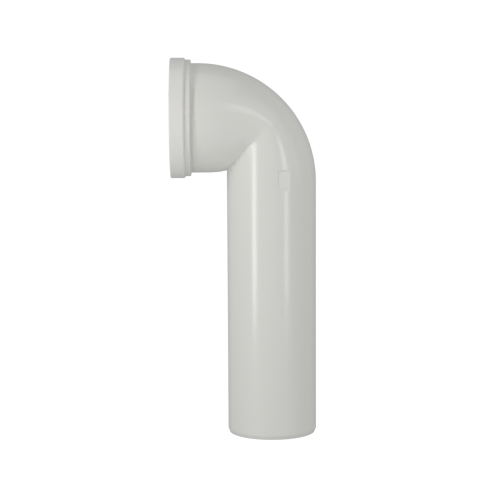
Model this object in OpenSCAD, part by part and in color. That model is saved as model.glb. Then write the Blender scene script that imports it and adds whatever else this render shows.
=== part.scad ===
// Bent pan connector: a long drain tube, a tight bend and a socket with a finned seal.
// The origin is the centre of the tube's open end. +Z runs up the tube, and the socket opens towards -X.

/* [Tube] */
// Outside diameter of the tube, the size of drain socket that it fits
tube_od = 110; // [104:1:125]
// Wall thickness of the tube, the bend and the socket's barrel
wall = 3; // [2.6:0.1:4]
// Height of the socket's axis above the tube's open end
axis_h = 394; // [260:1:600]
// Depth of the bevel round the tube's open end
bevel_depth = 2; // [1:0.1:2.4]
// Length of that bevel along the tube
bevel_l = 5; // [2:0.5:12]

/* [Bend] */
// Height of the barrel's underside above the centre of the arc that the back of the bend follows
throat = 11.5; // [2:0.5:40]
// How squarely the bend's widest line turns its corner
corner = 5.5; // [4:0.5:8]
// Depth of the arm's underside below the socket's axis, where it has run into the tube
under_r = 54.5; // [52:0.5:58]
// Length over which the arm's underside eases up to that depth
under_l = 63; // [50:1:75]
// How late the underside turns up
under_power = 4; // [2:0.5:6]

/* [Socket] */
// Outside diameter of the socket's barrel
socket_od = 134.5; // [128:0.5:138]
// Length of straight barrel between the bend and the drum
barrel_l = 8; // [3:0.5:60]
// Height of the step from the barrel up to the drum at the socket's mouth
drum_step = 4.35; // [3.6:0.05:8]
// Length of the drum
drum_l = 22.5; // [20:0.5:28]
// Wall of the drum round its seat for the seal
drum_wall = 3.2; // [2.6:0.1:4]
// Thickness of the ledge at the drum's back, which the seal stops against
ledge_t = 3.3; // [2.5:0.1:5]

/* [Cap] */
// Thickness of the cap's skirt
cap_wall = 2.2; // [1.8:0.1:3]
// Thickness of the cap's front
cap_front = 2.5; // [2:0.1:4]
// Length of the cap from its face to the end of its skirt
cap_l = 18.5; // [14:0.5:20]
// Diameter of the opening in the cap's front
cap_opening = 114; // [110:1:124]
// Gap between the cap's skirt and the drum
cap_gap = 0.2; // [0.1:0.05:0.4]
// Height of the snap bead inside the skirt
bead_h = 0.8; // [0.5:0.1:1.2]
// Width of the snap bead
bead_w = 2; // [1.5:0.1:3]
// Distance from the skirt's end to the bead
bead_inset = 3; // [2:0.5:6]
// Chamfer on the outer edges of the cap and the drum
edge = 1; // [0.4:0.1:1.5]

/* [Seal] */
// Diameter inside the relaxed lips, just under the pan outlet's own
lip_d = 101; // [92:0.5:106]
// Number of lips
lip_count = 3; // [2:1:4]
// Thickness of a lip
lip_t = 1.6; // [1.2:0.1:2.5]
// Distance that a lip leans into the socket
lip_lean = 7; // [4:0.5:10]
// Length of the flat land at a lip's tip
lip_land = 2; // [1:0.1:3]
// Thickness of the seal's outer sleeve and of its front
sleeve_t = 2.5; // [2:0.1:4]
// Gap between the seal's sleeve and the drum
seal_gap = 0.2; // [0.1:0.05:0.4]

/* [Panel] */
// Width of the shallow bare panel on the side of the tube
panel_w = 16; // [8:1:30]
// Height of the panel
panel_h = 25; // [10:1:40]
// Depth of the panel's flat floor at its middle
panel_depth = 1; // [0.4:0.1:1.6]
// Height of the panel's middle below the socket's axis
panel_drop = 72; // [60:1:120]
// Turn of the panel about the tube's axis, from the side towards the back of the bend
panel_turn = 15; // [0:1:60]

/* [Hidden] */
$fn = 96;
tube_r = tube_od / 2;
socket_r = socket_od / 2;
drum_r = socket_r + drum_step;
// The back's arc is tangent to the tube's side and to the barrel's top, which sets its centre.
bend_r = socket_od + throat;
run = bend_r - tube_r;
drop = bend_r - socket_r;
centre_z = axis_h - drop;
// Turn that the bend makes
quarter = 90;
// Rings across the bend, and points from a ring's widest line to its inner and outer edge
bend_steps = 24;
inner_steps = 16;
outer_steps = 8;
halvings = 24;
// Places along the socket, from the tube's axis
drum_start = run + barrel_l;
drum_end = drum_start + drum_l;
face_x = drum_end + cap_front;
ledge_x = drum_start + ledge_t;
skirt_end = face_x - cap_l;
bead_x = skirt_end + bead_inset;
seat_r = drum_r - drum_wall;
skirt_in = drum_r + cap_gap;
cap_r = skirt_in + cap_wall;
sleeve_r = seat_r - seal_gap;
sleeve_in = sleeve_r - sleeve_t;
seat_l = drum_end - ledge_x;
lip_r = lip_d / 2;
lip_pitch = (seat_l - sleeve_t) / lip_count;
// A cutter runs this far past the face that it cuts.
past = 1;
// The bend's form stays this far inside the round tube and barrel that it runs into, so that no edge lies
// on another.
seam = 0.02;

function share(v) = max(0, min(1, v));

// Half the arm's width at its axis. It eases from the barrel to the tube by a squared cosine.
function arm_w(x) = tube_r + (socket_r - tube_r) * pow(cos(quarter * share((x + run) / run)), 2);

// Depth of the arm's underside below its axis
function arm_d(x) =
    let (t = share((x + run) / under_l))
    under_r + (socket_r - under_r) * pow(1 - pow(t, under_power), 2);

// Half width of the inner side of the bend at x and at z above the socket's axis. The arm's lower half
// and the tube meet there in a crease.
function inner_y(x, z, inset) =
    let (
        w = arm_w(x) - inset,
        d = arm_d(x) - inset,
        arm_y = w * sqrt(max(0, 1 - pow(min(z, 0) / d, 2))),
        tube_y = sqrt(max(0, pow(tube_r - inset, 2) - pow(min(x, 0), 2)))
    )
    max(arm_y, tube_y);

// Distance from the arc's centre to the bend's widest line, a rounded corner between the two axes
function spine_r(a) = 1 / pow(pow(sin(a) / drop, corner) + pow(cos(a) / run, corner), 1 / corner);

// True below the arm's underside, on the ray at angle a from the arc's centre
function is_below(a, r, inset) = r * sin(a) < drop - arm_d(r * cos(a) - run) + inset;

// Distance from the arc's centre to the inner edge, by halving between lo and hi
function edge_r(a, inset, lo, hi, n) =
    let (mid = (lo + hi) / 2)
    n == 0 ? mid
    : is_below(a, mid, inset) ? edge_r(a, inset, mid, hi, n - 1)
    : edge_r(a, inset, lo, mid, n - 1);

// The ray enters through the tube's side or through the arm's underside, whichever is nearer.
function inner_r(a, inset) =
    let (side = a == quarter ? spine_r(a) : min(spine_r(a), (run - tube_r + inset) / cos(a)))
    is_below(a, side, inset) ? side : edge_r(a, inset, 0, side, halvings);

// Half of the section at angle a, as distance from the centre and half width, from inner to outer edge
function half_ring(a, inset) =
    let (
        ri = inner_r(a, inset),
        rs = spine_r(a),
        ro = bend_r - inset,
        ws = inner_y(rs * cos(a) - run, rs * sin(a) - drop, inset)
    )
    concat(
        [[ri, 0]],
        [
            for (i = [1:inner_steps])
            let (r = rs - (rs - ri) * cos(quarter * i / inner_steps))
            [r, inner_y(r * cos(a) - run, r * sin(a) - drop, inset)]
        ],
        [
            for (i = [1:outer_steps - 1])
            let (t = quarter * i / outer_steps)
            [rs + (ro - rs) * sin(t), ws * cos(t)]
        ],
        [[ro, 0]]
    );

// A whole section in space
function ring(a, inset) =
    let (half = half_ring(a, inset), last = len(half) - 1)
    [
        for (i = [0:2 * last - 1])
        let (p = i <= last ? half[i] : half[2 * last - i], side = i <= last ? -1 : 1)
        [p[0] * cos(a) - run, side * p[1], centre_z + p[0] * sin(a)]
    ];

// Solid form of the bend between the tube and the barrel, inset all round
module bend_form(inset) {
    rings = [for (i = [0:bend_steps]) ring(quarter * i / bend_steps, inset)];
    n = len(rings[0]);
    polyhedron(
        points = [for (row = rings) for (p = row) p],
        faces = concat(
            [[for (j = [0:n - 1]) j]],
            [
                for (i = [0:bend_steps - 1], j = [0:n - 1], half = [0, 1])
                let (k = (j + 1) % n, a = i * n + j, b = i * n + k, c = b + n, d = a + n)
                half == 0 ? [a, c, b] : [a, d, c]
            ],
            [[for (j = [n - 1:-1:0]) bend_steps * n + j]]
        )
    );
}

// Places a solid of revolution on the socket's axis, with its height measured from the tube's axis
module on_socket() {
    translate([0, 0, axis_h])
        rotate([0, -90, 0])
            children();
}

// A ring between two radii and two places along the socket
module socket_ring(r_out, r_in, from, to) {
    on_socket()
        translate([0, 0, from])
            difference() {
                cylinder(h = to - from, r = r_out);
                translate([0, 0, -past])
                    cylinder(h = to - from + 2 * past, r = r_in);
            }
}

// A drum with chamfered outer edges
module chamfered(r, from, to) {
    on_socket()
        rotate_extrude()
            polygon([
                [0, from], [r - edge, from], [r, from + edge],
                [r, to - edge], [r - edge, to], [0, to]
            ]);
}

module bend_outside() {
    cylinder(h = bevel_l, r1 = tube_r - bevel_depth, r2 = tube_r);
    translate([0, 0, bevel_l])
        cylinder(h = centre_z - bevel_l, r = tube_r);
    bend_form(seam);
    on_socket()
        translate([0, 0, run])
            cylinder(h = drum_start + edge - run, r = socket_r);
    chamfered(drum_r, drum_start, drum_end);
}

module bend_inside() {
    translate([0, 0, -past])
        cylinder(h = centre_z + past, r = tube_r - wall);
    bend_form(wall + seam);
    on_socket()
        translate([0, 0, run])
            cylinder(h = ledge_x + past - run, r = socket_r - wall);
    on_socket()
        translate([0, 0, ledge_x])
            cylinder(h = seat_l + past, r = seat_r);
}

// The groove that the cap's bead snaps into, with the same gap all round
module snap_groove() {
    socket_ring(drum_r + past, drum_r - bead_h, bead_x - cap_gap, bead_x + bead_w + cap_gap);
}

// Cuts the panel's pocket in the tube's side
module panel_cut() {
    rotate([0, 0, panel_turn])
        translate([-panel_w / 2, -tube_r - past, axis_h - panel_drop - panel_h / 2])
            cube([panel_w, panel_depth + past, panel_h]);
}

module bend() {
    color([0.80, 0.80, 0.78])
        difference() {
            union() bend_outside();
            union() bend_inside();
            snap_groove();
            panel_cut();
        }
}

module seal_cap() {
    color([0.85, 0.85, 0.83])
        union() {
            difference() {
                chamfered(cap_r, skirt_end, face_x);
                on_socket()
                    translate([0, 0, skirt_end - past])
                        cylinder(h = drum_end - skirt_end + past, r = skirt_in);
                on_socket()
                    translate([0, 0, drum_end - past])
                        cylinder(h = cap_front + 2 * past, d = cap_opening);
            }
            socket_ring(skirt_in + cap_wall / 2, skirt_in - bead_h, bead_x, bead_x + bead_w);
        }
}

// Outline of one lip. It starts inside the sleeve's wall and leans away from the mouth to a flat land.
module lip_outline(root) {
    foot_r = sleeve_in + sleeve_t / 2;
    tip = root - lip_lean;
    polygon([
        [foot_r, root],
        [foot_r, root - lip_t],
        [lip_r + lip_t, tip - lip_land],
        [lip_r, tip - lip_land],
        [lip_r, tip]
    ]);
}

// One lip all round
module lip(root) {
    on_socket()
        rotate_extrude()
            lip_outline(root);
}

module lip_seal() {
    color([0.16, 0.16, 0.17])
        union() {
            socket_ring(sleeve_r, sleeve_in, ledge_x, drum_end);
            socket_ring(sleeve_r, cap_opening / 2 + sleeve_t, drum_end - sleeve_t, drum_end);
            for (i = [0:lip_count - 1])
                lip(drum_end - sleeve_t - i * lip_pitch);
        }
}

bend();
seal_cap();
lip_seal();
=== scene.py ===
import math

import bpy
import numpy as np
from mathutils import Matrix, Vector


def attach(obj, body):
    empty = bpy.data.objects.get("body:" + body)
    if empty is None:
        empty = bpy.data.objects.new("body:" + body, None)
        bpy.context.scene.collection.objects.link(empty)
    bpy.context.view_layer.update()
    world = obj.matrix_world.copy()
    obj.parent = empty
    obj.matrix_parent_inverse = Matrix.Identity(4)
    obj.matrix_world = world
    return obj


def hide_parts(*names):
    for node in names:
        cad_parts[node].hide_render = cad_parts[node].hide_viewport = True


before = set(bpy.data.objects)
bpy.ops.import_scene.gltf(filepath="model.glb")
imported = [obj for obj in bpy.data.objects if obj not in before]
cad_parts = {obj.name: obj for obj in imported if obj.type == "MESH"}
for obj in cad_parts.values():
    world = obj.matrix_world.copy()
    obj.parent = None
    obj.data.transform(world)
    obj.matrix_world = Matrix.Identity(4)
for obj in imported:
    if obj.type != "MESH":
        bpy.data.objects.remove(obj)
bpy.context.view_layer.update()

# Bent pan connector. Shapes are worked out in millimetres, with the tube's end at the origin, +Z up the
# tube and the socket's mouth towards -X. The meshes are in metres.
mm = 0.001
scene = bpy.context.scene


def linear(hexColour):  # sRGB hex to linear RGBA
    srgb = [int(hexColour[i:i + 2], 16) / 255 for i in (1, 3, 5)]
    return [c / 12.92 if c <= 0.04045 else ((c + 0.055) / 1.055) ** 2.4 for c in srgb] + [1.0]


# A long lens a little above the socket. Its place comes from the outline of the tube and the collar.
photoCamera = {
    "lookAt": (-26.9, 0, 229.3),  # mm
    "distance": 2700,
    "yaw": 0.2,  # degrees
    "pitch": 8.3,
    "roll": -0.28,
    "focal": 156.5,  # mm, on a sensor 36 mm wide
    "sensor": 36,
    "clip": (0.05, 200),  # m
}


# Looks along the yaw and the pitch from the distance, and then rolls about the line of sight
def makeCamera(c):
    yaw, pitch = math.radians(c["yaw"]), math.radians(c["pitch"])
    ahead = Vector((math.sin(yaw) * math.cos(pitch), math.cos(yaw) * math.cos(pitch), -math.sin(pitch)))
    data = bpy.data.cameras.new("photoCamera")
    data.lens, data.sensor_width = c["focal"], c["sensor"]
    data.clip_start, data.clip_end = c["clip"]
    camera = bpy.data.objects.new("photoCamera", data)
    scene.collection.objects.link(camera)
    turn = ahead.to_track_quat("-Z", "Y") @ Matrix.Rotation(math.radians(c["roll"]), 3, "Z").to_quaternion()
    camera.rotation_mode = "QUATERNION"
    camera.rotation_quaternion = turn
    camera.location = Vector(c["lookAt"]) * mm - ahead * c["distance"] * mm
    scene.camera = camera


makeCamera(photoCamera)
print("camera made")


def smoothStep(t):  # 3t² - 2t³ between 0 and 1
    t = np.clip(t, 0, 1)
    return t * t * (3 - 2 * t)


# Rounds each corner of a profile with an arc. A corner is given as its radius from the axis, its place along
# the axis and the arc's radius, in mm, and stays sharp where that is 0. The arc starts and ends at its
# radius divided by the tangent of half the corner's angle, and its centre lies on the corner's bisector.
def roundCorners(corners, arcPoints=6):
    points = np.array([corner[:2] for corner in corners], float)
    out = []
    for i, p in enumerate(points):
        radius = corners[i][2]
        if radius == 0:
            out.append(p[None])
            continue
        before, after = points[i - 1] - p, points[(i + 1) % len(points)] - p
        u, v = before / np.linalg.norm(before), after / np.linalg.norm(after)
        half = math.acos(np.clip(u @ v, -1, 1)) / 2
        centre = p + (u + v) / np.linalg.norm(u + v) * radius / math.sin(half)
        start, end = p + u * radius / math.tan(half), p + v * radius / math.tan(half)
        t = np.linspace(0, 1, arcPoints)[:, None]
        sweep = math.pi - 2 * half
        a, b = start - centre, end - centre
        out.append(centre + (a * np.sin((1 - t) * sweep) + b * np.sin(t * sweep)) / math.sin(sweep))
    return np.concatenate(out)


# Adds a point at a gap in mm from both ends of every long stretch, so that smooth shading keeps flats flat
def supportEdges(profile, gap=0.25, closed=True):
    ends = np.roll(profile, -1, axis=0) if closed else profile[1:]
    out = []
    for p, q in zip(profile, ends):
        out.append(p)
        length = np.linalg.norm(q - p)
        if length > 4 * gap:
            out += [p + (q - p) * gap / length, q - (q - p) * gap / length]
    if not closed:
        out.append(profile[-1])
    return np.array(out)


# A grid of closed rings becomes quads, and the last ring meets the first. Points that agree to 8 decimals
# of a metre become one, so that the seam has no hole, and a quad that loses a corner becomes a triangle.
def meshFromRings(name, rings):
    rows, around = rings.shape[:2]
    flat = rings.reshape(-1, 3) * mm
    _, first, index = np.unique(np.round(flat, 8), axis=0, return_index=True, return_inverse=True)
    index = index.reshape(rows, around)
    nextRow = np.roll(index, -1, axis=0)
    quads = np.stack([index, np.roll(index, -1, axis=1), np.roll(nextRow, -1, axis=1), nextRow], axis=-1)
    quads = quads.reshape(-1, 4)
    same = (quads == np.roll(quads, -1, axis=1)).sum(axis=1)
    faces = quads[same == 0].tolist()
    for quad in quads[same == 1].tolist():
        faces.append([v for i, v in enumerate(quad) if v != quad[i - 1]])
    mesh = bpy.data.meshes.new(name)
    mesh.from_pydata(flat[first].tolist(), [], faces)
    mesh.validate()
    mesh.polygons.foreach_set("use_smooth", np.ones(len(mesh.polygons), bool))
    mesh.update()
    piece = bpy.data.objects.new(name, mesh)
    scene.collection.objects.link(piece)
    return piece


# Turns a profile of (radius, distance from the tube's axis) about the socket's axis. The angle starts at
# the underside and turns through the front, at -Y.
def ringsAboutSocket(profile, angles, axisHeight):
    r, along = profile[:, 0, None], profile[:, 1, None]
    turn = angles[None]
    return np.stack([-along + 0 * turn, -r * np.sin(turn), axisHeight - r * np.cos(turn)], axis=-1)


bendSizes = {  # mm, as in the frame
    "tubeR": 55, "wall": 3, "axisHeight": 394,
    "bevelDepth": 2, "bevelLength": 5,
    "backR": 146, "corner": 5.5,
    "underR": 54.5, "underLength": 63, "underPower": 4,
    "socketR": 67.25, "barrelEnd": 99,
    "drumR": 71.6, "drumEnd": 121.5, "seatR": 68.4, "ledge": 102.3,
    "creaseFill": 1.2,  # how far the crease is filled
    "creaseFade": 12,  # the half width at which the fill is whole
    "partingWidth": 0.5, "partingDepth": 0.06, "partingRunOut": 2,  # line where the mould's halves met
    "panelTurn": 15, "panelHeight": 322, "panelSize": (16, 25), "panelDepth": 1.2, "panelCorner": 2.5,
    "panelWall": 2.1,  # how far the panel's wall leans over its height
    "columns": 128, "panelColumns": 52, "panelMargin": 1,
    "ringGap": 0.35,  # between the rings across the panel
}


def armHalfWidth(x, s):  # from the tube's radius to the socket's by a squared cosine
    run = s["backR"] - s["tubeR"]
    t = np.clip((x + run) / run, 0, 1)
    return s["tubeR"] + (s["socketR"] - s["tubeR"]) * np.cos(np.pi / 2 * t) ** 2


def armDepth(x, s):  # rises from the barrel's underside by the square of one minus a power of the way
    run = s["backR"] - s["tubeR"]
    t = np.clip((x + run) / s["underLength"], 0, 1)
    return s["underR"] + (s["socketR"] - s["underR"]) * (1 - t ** s["underPower"]) ** 2


# Half widths of the arm, an ellipse below its axis, and of the tube, a circle left of its axis
def armAndTube(x, z, inset, s):
    arm = (armHalfWidth(x, s) - inset) * np.sqrt(
        np.maximum(0, 1 - (np.minimum(z, 0) / (armDepth(x, s) - inset)) ** 2))
    tube = np.sqrt(np.maximum(0, (s["tubeR"] - inset) ** 2 - np.minimum(x, 0) ** 2))
    return arm, tube


# The larger of the two. The crease between them is filled by a smooth maximum, half the sum plus half the
# root of the difference squared and the fill squared. The fill fades towards the mirror plane.
def innerHalfWidth(x, z, inset, s):
    arm, tube = armAndTube(x, z, inset, s)
    fill = s["creaseFill"] * smoothStep(np.minimum(arm, tube) / s["creaseFade"])
    return (arm + tube + np.sqrt((arm - tube) ** 2 + fill ** 2)) / 2


# Half width of the bend at x and at z above the socket's axis. On a ray from the arc's centre it is
# innerHalfWidth up to the widest line. From there to the back it is a quarter ellipse, plus the slope over
# the last millimetre times the distance, which fades by a square. The widest line is a superellipse between
# the socket's axis and the tube's.
def bendHalfWidth(x, z, inset, s):
    run, drop = s["backR"] - s["tubeR"], s["backR"] - s["socketR"]
    a = np.clip(np.arctan2(z + drop, x + run), 1e-6, np.pi / 2 - 1e-6)
    rho = np.hypot(x + run, z + drop)
    widest = ((np.sin(a) / drop) ** s["corner"] + (np.cos(a) / run) ** s["corner"]) ** (-1 / s["corner"])
    back = s["backR"] - inset

    def onRay(r):
        return innerHalfWidth(r * np.cos(a) - run, r * np.sin(a) - drop, inset, s)

    t = np.clip((rho - widest) / (back - widest), 0, 1)
    slope = onRay(widest) - onRay(widest - 1)
    outer = onRay(widest) * np.sqrt(1 - t ** 2) + slope * (rho - widest) * (1 - t) ** 2
    return np.where(rho > widest, outer, innerHalfWidth(x, z, inset, s))


# How far a ray from the inner corner runs before it meets the back's arc, from the quadratic formula
def fanDistance(corner, angle, inset, s):
    run, drop = s["backR"] - s["tubeR"], s["backR"] - s["socketR"]
    along = (corner[0] + run) * np.cos(angle) + (corner[1] + drop) * np.sin(angle)
    gap = (corner[0] + run) ** 2 + (corner[1] + drop) ** 2
    return -along + np.sqrt(along ** 2 - gap + (s["backR"] - inset) ** 2)


# Angle of the crease at each share of the way from the inner corner to the back. It is found between 10
# and 80 degrees by halving the range 30 times.
def creaseAngles(corner, share, inset, s):
    low, high = np.full(share.shape, math.radians(10)), np.full(share.shape, math.radians(80))
    for _ in range(30):
        middle = (low + high) / 2
        d = share * fanDistance(corner, middle, inset, s)
        arm, tube = armAndTube(corner[0] + d * np.cos(middle), corner[1] + d * np.sin(middle), inset, s)
        low, high = np.where(arm < tube, middle, low), np.where(arm < tube, high, middle)
    return (low + high) / 2


# Sections from the tube's top to the barrel: level ones, a fan about the inner corner whose middle line
# follows the crease, and upright ones. A section runs from its inner end to the back, with its points
# spaced by a cosine, and is closed by its mirror image. In the fan, the points closest to the corner move
# into it, and the middle line is straight past halfway to the back.
def elbowRings(angles, inset, rows, s):
    run, drop = s["backR"] - s["tubeR"], s["backR"] - s["socketR"]
    cornerX = inset - s["tubeR"]
    corner = np.array([cornerX, inset - float(armDepth(cornerX, s))])
    share = (1 - np.cos(angles)) / 2
    back = s["backR"] - inset
    z = rows["level"] * (corner[1] + drop) - drop
    levelEnd = -run + np.sqrt(back ** 2 - (z + drop) ** 2)
    levelX = cornerX + share[None] * (levelEnd - cornerX)[:, None]
    levelZ = z[:, None] + 0 * share[None]

    known = np.clip(share, 0.03, 0.5)
    crease = creaseAngles(corner, known, inset, s)
    middle = crease[np.argmax(known)]
    fan = rows["fan"]
    nominal = np.where(fan < 0, middle * (1 + fan), middle + (np.pi / 2 - middle) * fan)
    weight = 1 - np.abs(fan)
    angle = nominal[:, None] + weight[:, None] * (crease - middle)[None]
    d = np.where(share < 1e-4, 0, share)[None] * fanDistance(corner, angle, inset, s)
    fanX, fanZ = corner[0] + d * np.cos(angle), corner[1] + d * np.sin(angle)

    x = cornerX - rows["upright"] * (run + cornerX)
    under = inset - armDepth(x, s)
    top = -drop + np.sqrt(back ** 2 - (x + run) ** 2)
    uprightX = x[:, None] + 0 * share[None]
    uprightZ = under[:, None] + share[None] * (top - under)[:, None]

    x, z = np.concatenate([levelX, fanX, uprightX]), np.concatenate([levelZ, fanZ, uprightZ])
    side = np.where((share < 1e-6) | (share > 1 - 1e-6), 0, -np.sign(np.sin(angles)))
    y = bendHalfWidth(x, z, inset, s) * side[None]
    return np.stack([x, y, z + s["axisHeight"]], axis=-1)


# Turns a profile of (radius, height) about the tube's axis, from the inner side through the front
def tubeRings(profile, angles):
    r, z = profile[:, 0, None], profile[:, 1, None]
    turn = angles[None]
    return np.stack([-r * np.cos(turn), -r * np.sin(turn), z + 0 * turn], axis=-1)


# Presses a shallow panel with round corners into the tube's side. A point inside the outline, a rounded
# rectangle, moves against the panel's normal to its flat floor, and by a smooth step less where the panel's
# wall leans.
def pressPanel(rings, s):
    turn = math.radians(s["panelTurn"])
    normal = np.array([math.sin(turn), -math.cos(turn), 0])
    level = np.array([math.cos(turn), math.sin(turn), 0])
    half = np.array(s["panelSize"]) / 2 - s["panelCorner"]
    q = np.stack([np.abs(rings @ level), np.abs(rings[..., 2] - s["panelHeight"])], axis=-1) - half
    edge = np.hypot(*np.moveaxis(np.maximum(q, 0), -1, 0)) - s["panelCorner"]
    proud = np.maximum(rings @ normal - (s["tubeR"] - s["panelDepth"]), 0)
    pressed = proud * (1 - smoothStep(edge / s["panelWall"] + 1))
    return rings - pressed[..., None] * normal


# A hairline dip along the plane where the mould's halves met, on the outside only. It fades from the plane
# with a smooth step and goes against the outline's normal, which is the step from ring to ring turned
# by a quarter. It runs out just before the inner corner, where the rings share a point.
def markParting(rings, angles, s):
    corner = [-s["tubeR"], 0, s["axisHeight"] - armDepth(-s["tubeR"], s)]
    runOut = smoothStep(np.linalg.norm(rings - corner, axis=-1) / s["partingRunOut"])
    dip = s["partingDepth"] * runOut * (1 - smoothStep(np.abs(rings[..., 1]) / s["partingWidth"]))
    step = np.gradient(rings, axis=0)
    side = -np.sign(np.cos(angles))[None]
    normal = np.stack([step[..., 2] * side, 0 * dip, -step[..., 0] * side], axis=-1)
    length = np.maximum(np.linalg.norm(normal, axis=-1, keepdims=True), 1e-9)
    return rings - dip[..., None] * normal / length


# Angles of the columns, which lie evenly round the tube, and closely across the panel and the parting line
def bendAngles(s):
    panelAngle = math.radians(90 + s["panelTurn"])
    panelHalf = math.asin((s["panelSize"][0] / 2 + s["panelMargin"]) / s["tubeR"])
    even = np.linspace(0, 2 * np.pi, s["columns"], endpoint=False)
    even = even[np.abs(even - panelAngle) > panelHalf]
    panel = np.linspace(panelAngle - panelHalf, panelAngle + panelHalf, s["panelColumns"])
    parting = np.array([-1, -0.6, -0.25, 0.25, 0.6, 1]) * s["partingWidth"] / s["tubeR"]
    return np.sort(np.concatenate([even, panel, parting % (2 * np.pi), np.pi + parting]))


# Where the elbow's sections lie. Level ones go up from the tube's top to the corner, and upright ones from
# the corner to the barrel, as shares of the way. The fan's go from -1, level, through 0 at the crease to 1,
# upright.
cornerRise = 14  # mm, about, from the tube's top to the corner
outerRows = {
    "level": np.arange(0, 1, bendSizes["ringGap"] / cornerRise),
    "fan": np.concatenate([np.linspace(-1, -0.88, 31), np.linspace(-0.88, -0.06, 34)[1:],
                           np.linspace(-0.05, 0.05, 13), np.linspace(0.07, 1, 32)]),
    "upright": np.linspace(0, 1, 22)[1:],
}
innerRows = {
    "level": np.linspace(0, 1, 6)[:-1],
    "fan": np.concatenate([np.linspace(-1, -0.08, 24), np.linspace(-0.06, 0.06, 7),
                           np.linspace(0.08, 1, 24)]),
    "upright": np.linspace(0, 1, 14)[1:],
}


def straightWall(radius, heights):  # a profile of one radius
    return np.stack([np.full_like(heights, radius), heights], axis=-1)


# Outside of the tube: the bevel round its end, rings about 23 mm apart up to the panel, and close ones from
# there on
def tubeProfile(s, tubeTop):
    end = roundCorners([
        (s["tubeR"] - s["wall"], 0, 0.3),
        (s["tubeR"] - s["bevelDepth"], 0, 0.5),
        (s["tubeR"], s["bevelLength"], 1.2),
        (s["tubeR"], tubeTop, 0)])
    panelLow = s["panelHeight"] - s["panelSize"][1] / 2
    plain = np.linspace(12, panelLow - 1.2, 14)
    close = np.arange(panelLow - 0.9, tubeTop, s["ringGap"])
    return np.concatenate([end[:-1], straightWall(s["tubeR"], np.concatenate([plain, close]))])


# From the barrel over the drum to the mouth, and back inside along the seal's seat to the bore
def collarProfile(s, run):
    corners = roundCorners([
        (s["socketR"], run, 0),
        (s["socketR"], s["barrelEnd"], 0.3),
        (s["drumR"], s["barrelEnd"], 0.35),
        (s["drumR"], s["drumEnd"], 0.5),
        (s["seatR"], s["drumEnd"], 0.4),
        (s["seatR"], s["ledge"], 0.3),
        (s["socketR"] - s["wall"], s["ledge"], 0.5),
        (s["socketR"] - s["wall"], run, 0)])
    return supportEdges(corners, closed=False)[1:-1]


# One closed run of rings: up the tube outside, round the elbow, over the collar, and back inside
def makeBend(s):
    run = s["backR"] - s["tubeR"]
    tubeTop = s["axisHeight"] - (s["backR"] - s["socketR"])
    angles = bendAngles(s)
    tube = tubeRings(tubeProfile(s, tubeTop), angles)
    elbow = elbowRings(angles, 0, outerRows, s)
    outer = markParting(pressPanel(np.concatenate([tube, elbow]), s), angles, s)
    collar = ringsAboutSocket(collarProfile(s, run), angles, s["axisHeight"])
    innerElbow = elbowRings(angles, s["wall"], innerRows, s)[::-1]
    boreHeights = np.linspace(tubeTop, 4, 13)[1:]
    bore = tubeRings(straightWall(s["tubeR"] - s["wall"], boreHeights), angles)
    rings = np.concatenate([outer, collar, innerElbow, bore])
    print("bend", rings.shape[0], "rings of", rings.shape[1])
    return meshFromRings("bendMoulding", rings)


bend = makeBend(bendSizes)


capSizes = {  # mm
    "axisHeight": bendSizes["axisHeight"], "outerR": 74, "openingR": 57,
    "skirtR": bendSizes["drumR"] + 0.2,  # the cap goes over the drum with this gap
    "face": 124, "inside": bendSizes["drumEnd"], "skirtEnd": 105.5,
    "chamfer": 1.7, "beadHeight": 0.8, "beadFrom": 108.5, "beadTo": 110.5,
    "columns": 192,
}


# Turned about the socket's axis: the skirt's end, the outside, the face, the opening, and the skirt inside
# with its snap bead
def makeCap(s):
    beadR = s["skirtR"] - s["beadHeight"]
    profile = roundCorners([
        (s["skirtR"], s["skirtEnd"], 0.2),
        (s["outerR"] - s["chamfer"], s["skirtEnd"], 0.2),
        (s["outerR"], s["skirtEnd"] + s["chamfer"], 1.0),
        (s["outerR"], s["face"], 1.0),
        (s["openingR"], s["face"], 0.8),
        (s["openingR"], s["inside"], 0.4),
        (s["skirtR"], s["inside"], 0.3),
        (s["skirtR"], s["beadTo"], 0.1),
        (beadR, s["beadTo"], 0.2),
        (beadR, s["beadFrom"], 0.2),
        (s["skirtR"], s["beadFrom"], 0.1)])
    angles = np.linspace(0, 2 * np.pi, s["columns"], endpoint=False)
    return meshFromRings("capRing", ringsAboutSocket(supportEdges(profile), angles, s["axisHeight"]))


cap = makeCap(capSizes)
print("cap made")


sealSizes = {  # mm
    "axisHeight": bendSizes["axisHeight"], "sleeve": 2.5, "openingR": 59.5,
    "sleeveR": bendSizes["seatR"] - 0.2,  # the sleeve goes into its seat with this gap
    "front": bendSizes["drumEnd"], "back": bendSizes["ledge"],
    "lipR": 50.5, "lipCount": 3, "lipThickness": 1.6, "lean": 7, "land": 2,
    "columns": 160,
}


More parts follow.
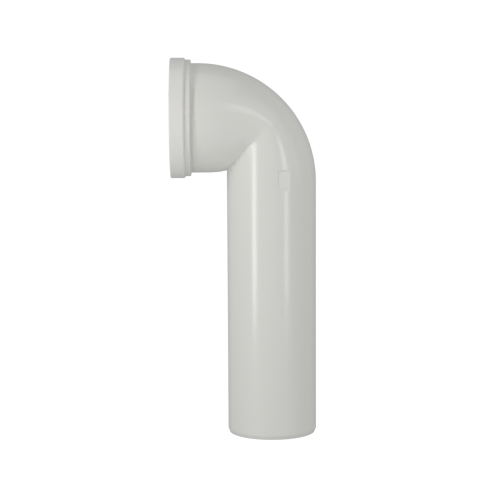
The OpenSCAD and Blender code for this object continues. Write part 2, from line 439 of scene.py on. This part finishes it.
# Turned about the socket's axis. A lip's two faces start halfway into the sleeve and lean straight to its
# edge, so that they leave the sleeve's inside a little further back.
def makeSeal(s):
    inner, into = s["sleeveR"] - s["sleeve"], s["sleeve"] / 2
    root = s["front"] - s["sleeve"]
    pitch = (root - s["back"]) / s["lipCount"]
    reach = inner + into - s["lipR"]
    frontFoot = s["lean"] * into / reach
    rearLean = s["lean"] + s["land"] - s["lipThickness"]
    rearFoot = s["lipThickness"] + rearLean * into / (reach - s["lipThickness"])
    corners = [
        (s["sleeveR"], s["back"], 0.4),
        (s["sleeveR"], s["front"], 0.4),
        (s["openingR"], s["front"], 0.6),
        (s["openingR"], root, 0.6)]
    for i in range(s["lipCount"]):
        foot = root - i * pitch
        tip = foot - s["lean"]
        corners += [
            (inner, foot - frontFoot, 0.3),
            (s["lipR"], tip, 0.5),
            (s["lipR"], tip - s["land"], 0.5),
            (s["lipR"] + s["lipThickness"], tip - s["land"], 0.5),
            (inner, foot - rearFoot, 0.6)]
    corners.append((inner, s["back"], 0.4))
    profile = supportEdges(roundCorners(corners, 5), 0.2)
    angles = np.linspace(0, 2 * np.pi, s["columns"], endpoint=False)
    return meshFromRings("sealLips", ringsAboutSocket(profile, angles, s["axisHeight"]))


seal = makeSeal(sealSizes)
print("seal made")


# Adds a node, sets its properties and sockets, and links sockets given by name to other outputs
def addNode(tree, kind, settings=None, **links):
    node = tree.nodes.new(kind)
    for key, value in (settings or {}).items():
        if key in node.inputs:
            node.inputs[key].default_value = value
        else:
            setattr(node, key, value)
    for key, output in links.items():
        tree.links.new(output, node.inputs[key])
    return node


# A new material with only its output, its node tree, and the output's socket for the surface
def startMaterial(name):
    material = bpy.data.materials.new(name)
    material.use_nodes = True
    tree = material.node_tree
    tree.nodes.clear()
    return material, tree, addNode(tree, "ShaderNodeOutputMaterial").inputs["Surface"]


# Injection-moulded polypropylene, white with a little warm grey in it. The polished mould leaves a soft
# gloss that keeps the lamps' edges readable. The wall shrinks unevenly as it cools, which makes the
# reflections waver slightly, and the mould's fine grain takes off the last of the shine.
mouldedPolypropylene = {
    "name": "mouldedPolypropylene", "colour": "#EDEDE8", "roughness": 0.2, "ior": 1.49,
    "waveSize": 24.0, "waveHeight": 0.012,  # mm
    "grainSize": 0.9, "grainHeight": 0.0008,  # mm, drawn coarser than the real 0.1 mm so that it shows
    "waveDetail": 1, "grainDetail": 2,  # layers of noise
}
# The cap is moulded in another batch of the same plastic, a little whiter and less glossy.
capPolypropylene = dict(mouldedPolypropylene, name="capPolypropylene", colour="#F2F1EE", roughness=0.24)


def makePlastic(m):
    material, tree, surface = startMaterial(m["name"])
    shader = addNode(tree, "ShaderNodeBsdfPrincipled", {
        "Base Color": linear(m["colour"]), "Roughness": m["roughness"], "IOR": m["ior"]})
    place = addNode(tree, "ShaderNodeTexCoord").outputs["Object"]
    wave = addNode(tree, "ShaderNodeTexNoise", {
        "Scale": 1 / (m["waveSize"] * mm), "Detail": m["waveDetail"]}, Vector=place)
    grain = addNode(tree, "ShaderNodeTexNoise", {
        "Scale": 1 / (m["grainSize"] * mm), "Detail": m["grainDetail"]}, Vector=place)
    broad = addNode(tree, "ShaderNodeBump", {"Distance": m["waveHeight"] * mm}, Height=wave.outputs["Fac"])
    fine = addNode(tree, "ShaderNodeBump", {"Distance": m["grainHeight"] * mm},
                   Height=grain.outputs["Fac"], Normal=broad.outputs["Normal"])
    tree.links.new(fine.outputs["Normal"], shader.inputs["Normal"])
    tree.links.new(shader.outputs["BSDF"], surface)
    return material


# Moulded EPDM rubber, black and matt with a grey bloom.
sealRubber = {
    "name": "mouldedRubber", "colour": "#303134", "roughness": 0.48, "ior": 1.52,
    "grainSize": 0.6, "grainHeight": 0.02,  # mm
    "grainDetail": 3,
}


def makeRubber(m):
    material, tree, surface = startMaterial(m["name"])
    shader = addNode(tree, "ShaderNodeBsdfPrincipled", {
        "Base Color": linear(m["colour"]), "Roughness": m["roughness"], "IOR": m["ior"]})
    place = addNode(tree, "ShaderNodeTexCoord").outputs["Object"]
    grain = addNode(tree, "ShaderNodeTexNoise", {
        "Scale": 1 / (m["grainSize"] * mm), "Detail": m["grainDetail"]}, Vector=place)
    bump = addNode(tree, "ShaderNodeBump", {"Distance": m["grainHeight"] * mm}, Height=grain.outputs["Fac"])
    tree.links.new(bump.outputs["Normal"], shader.inputs["Normal"])
    tree.links.new(shader.outputs["BSDF"], surface)
    return material


for piece, material, node, slot in (
    (bend, makePlastic(mouldedPolypropylene), "bend", "moulded_white"),
    (cap, makePlastic(capPolypropylene), "seal_cap", "cap_white"),
    (seal, makeRubber(sealRubber), "lip_seal", "seal_rubber"),
):
    piece.data.materials.append(material)
    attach(piece, "root")
    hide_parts(node)
print("materials made")


# A white room with tall softboxes on the left and the right, whose reflections are the two bright lines on
# the tube. A light higher on the left draws the shadow behind the drum, two more on the right show on
# the side of the bend, and the rest are weak fills. The two behind the object are for the other views. They
# leave no reflection, which would light up the bend's rim. Each light has an azimuth from the camera's
# side, an elevation, a distance and a height to aim at in metres, its own width and height in metres, and
# its radiance.
studio = {
    "world": 0.34,
    "paperGlow": 0.97, "paperTone": 0.2,
    "floorHalf": 15, "domeR": 13.5,  # m
    "lights": [
        ("leftSoftbox", -44.5, 0, 0.9, 0.178, 0.16, 0.345, 6.3),
        ("leftUpper", -58, 0, 0.9, 0.56, 0.16, 0.48, 8.4),
        ("rightSoftbox", 37, 0, 0.9, 0.235, 0.16, 0.43, 3.6),
        ("rightUpper", 29, 26, 1.2, 0.39, 0.22, 0.32, 2.4),
        ("rightEdge", 45, 6, 1.2, 0.39, 0.42, 0.42, 0.7),
        ("sideFill", 70, 25, 1.8, 0.25, 0.9, 1.8, 0.62),
        ("underLeft", -50, -35, 1.6, 0.25, 1.2, 1.0, 0.36),
        ("underRight", 50, -35, 1.6, 0.25, 1.2, 1.0, 0.36),
        ("overhead", 0, 88, 0.8, 0.42, 0.6, 0.6, 0.58),
        ("backLeft", -150, 30, 1.8, 0.25, 0.9, 0.9, 1.1),
        ("backRight", 150, 30, 1.8, 0.25, 0.9, 0.9, 1.1),
    ],
}


# A lamp's energy is its radiance times pi times its area
def addLight(name, azimuth, elevation, distance, aim, width, height, radiance):
    a, e = math.radians(azimuth), math.radians(elevation)
    towards = Vector((math.sin(a) * math.cos(e), -math.cos(a) * math.cos(e), math.sin(e)))
    data = bpy.data.lights.new(name, "AREA")
    data.shape, data.size, data.size_y = "RECTANGLE", width, height
    data.energy = radiance * math.pi * width * height
    light = bpy.data.objects.new(name, data)
    scene.collection.objects.link(light)
    light.rotation_mode = "QUATERNION"
    light.rotation_quaternion = towards.to_track_quat("Z", "Y")
    light.location = Vector((0, 0, aim)) + towards * distance
    light.visible_camera = False
    light.visible_glossy = not name.startswith("back")


# White paper that glows enough to stay white. Only the camera sees it, so that the room still lights the
# object from below.
def addPaper(s):
    material, tree, surface = startMaterial("whitePaper")
    paper = addNode(tree, "ShaderNodeBsdfDiffuse", {"Color": [s["paperTone"]] * 3 + [1.0]})
    glow = addNode(tree, "ShaderNodeEmission", {"Strength": s["paperGlow"]})
    both = addNode(tree, "ShaderNodeAddShader")
    tree.links.new(paper.outputs["BSDF"], both.inputs[0])
    tree.links.new(glow.outputs["Emission"], both.inputs[1])
    tree.links.new(both.outputs["Shader"], surface)
    half = s["floorHalf"]
    corners = [(-half, -half, 0), (half, -half, 0), (half, half, 0), (-half, half, 0)]
    mesh = bpy.data.meshes.new("paperFloor")
    mesh.from_pydata(corners, [], [(0, 1, 2, 3)])
    floor = bpy.data.objects.new("paperFloor", mesh)
    scene.collection.objects.link(floor)
    bpy.ops.mesh.primitive_uv_sphere_add(segments=48, ring_count=24, radius=s["domeR"])
    dome = bpy.context.object
    dome.name = dome.data.name = "paperDome"
    dome.data.flip_normals()
    for piece in (floor, dome):
        piece.data.materials.append(material)
        piece.visible_diffuse = piece.visible_glossy = piece.visible_transmission = False
        piece.visible_shadow = piece.visible_volume_scatter = False


# An even white room, the lamps and the paper
def makeStudio(s):
    world = bpy.data.worlds.new("room")
    world.use_nodes = True
    background = next(n for n in world.node_tree.nodes if n.type == "BACKGROUND")
    background.inputs["Color"].default_value = linear("#FFFFFF")
    background.inputs["Strength"].default_value = s["world"]
    scene.world = world
    for light in s["lights"]:
        addLight(*light)
    addPaper(s)


makeStudio(studio)
scene.view_settings.view_transform = "Standard"
scene.view_settings.look = "None"
scene.view_settings.exposure = 0
scene.view_settings.gamma = 1
print("studio made")
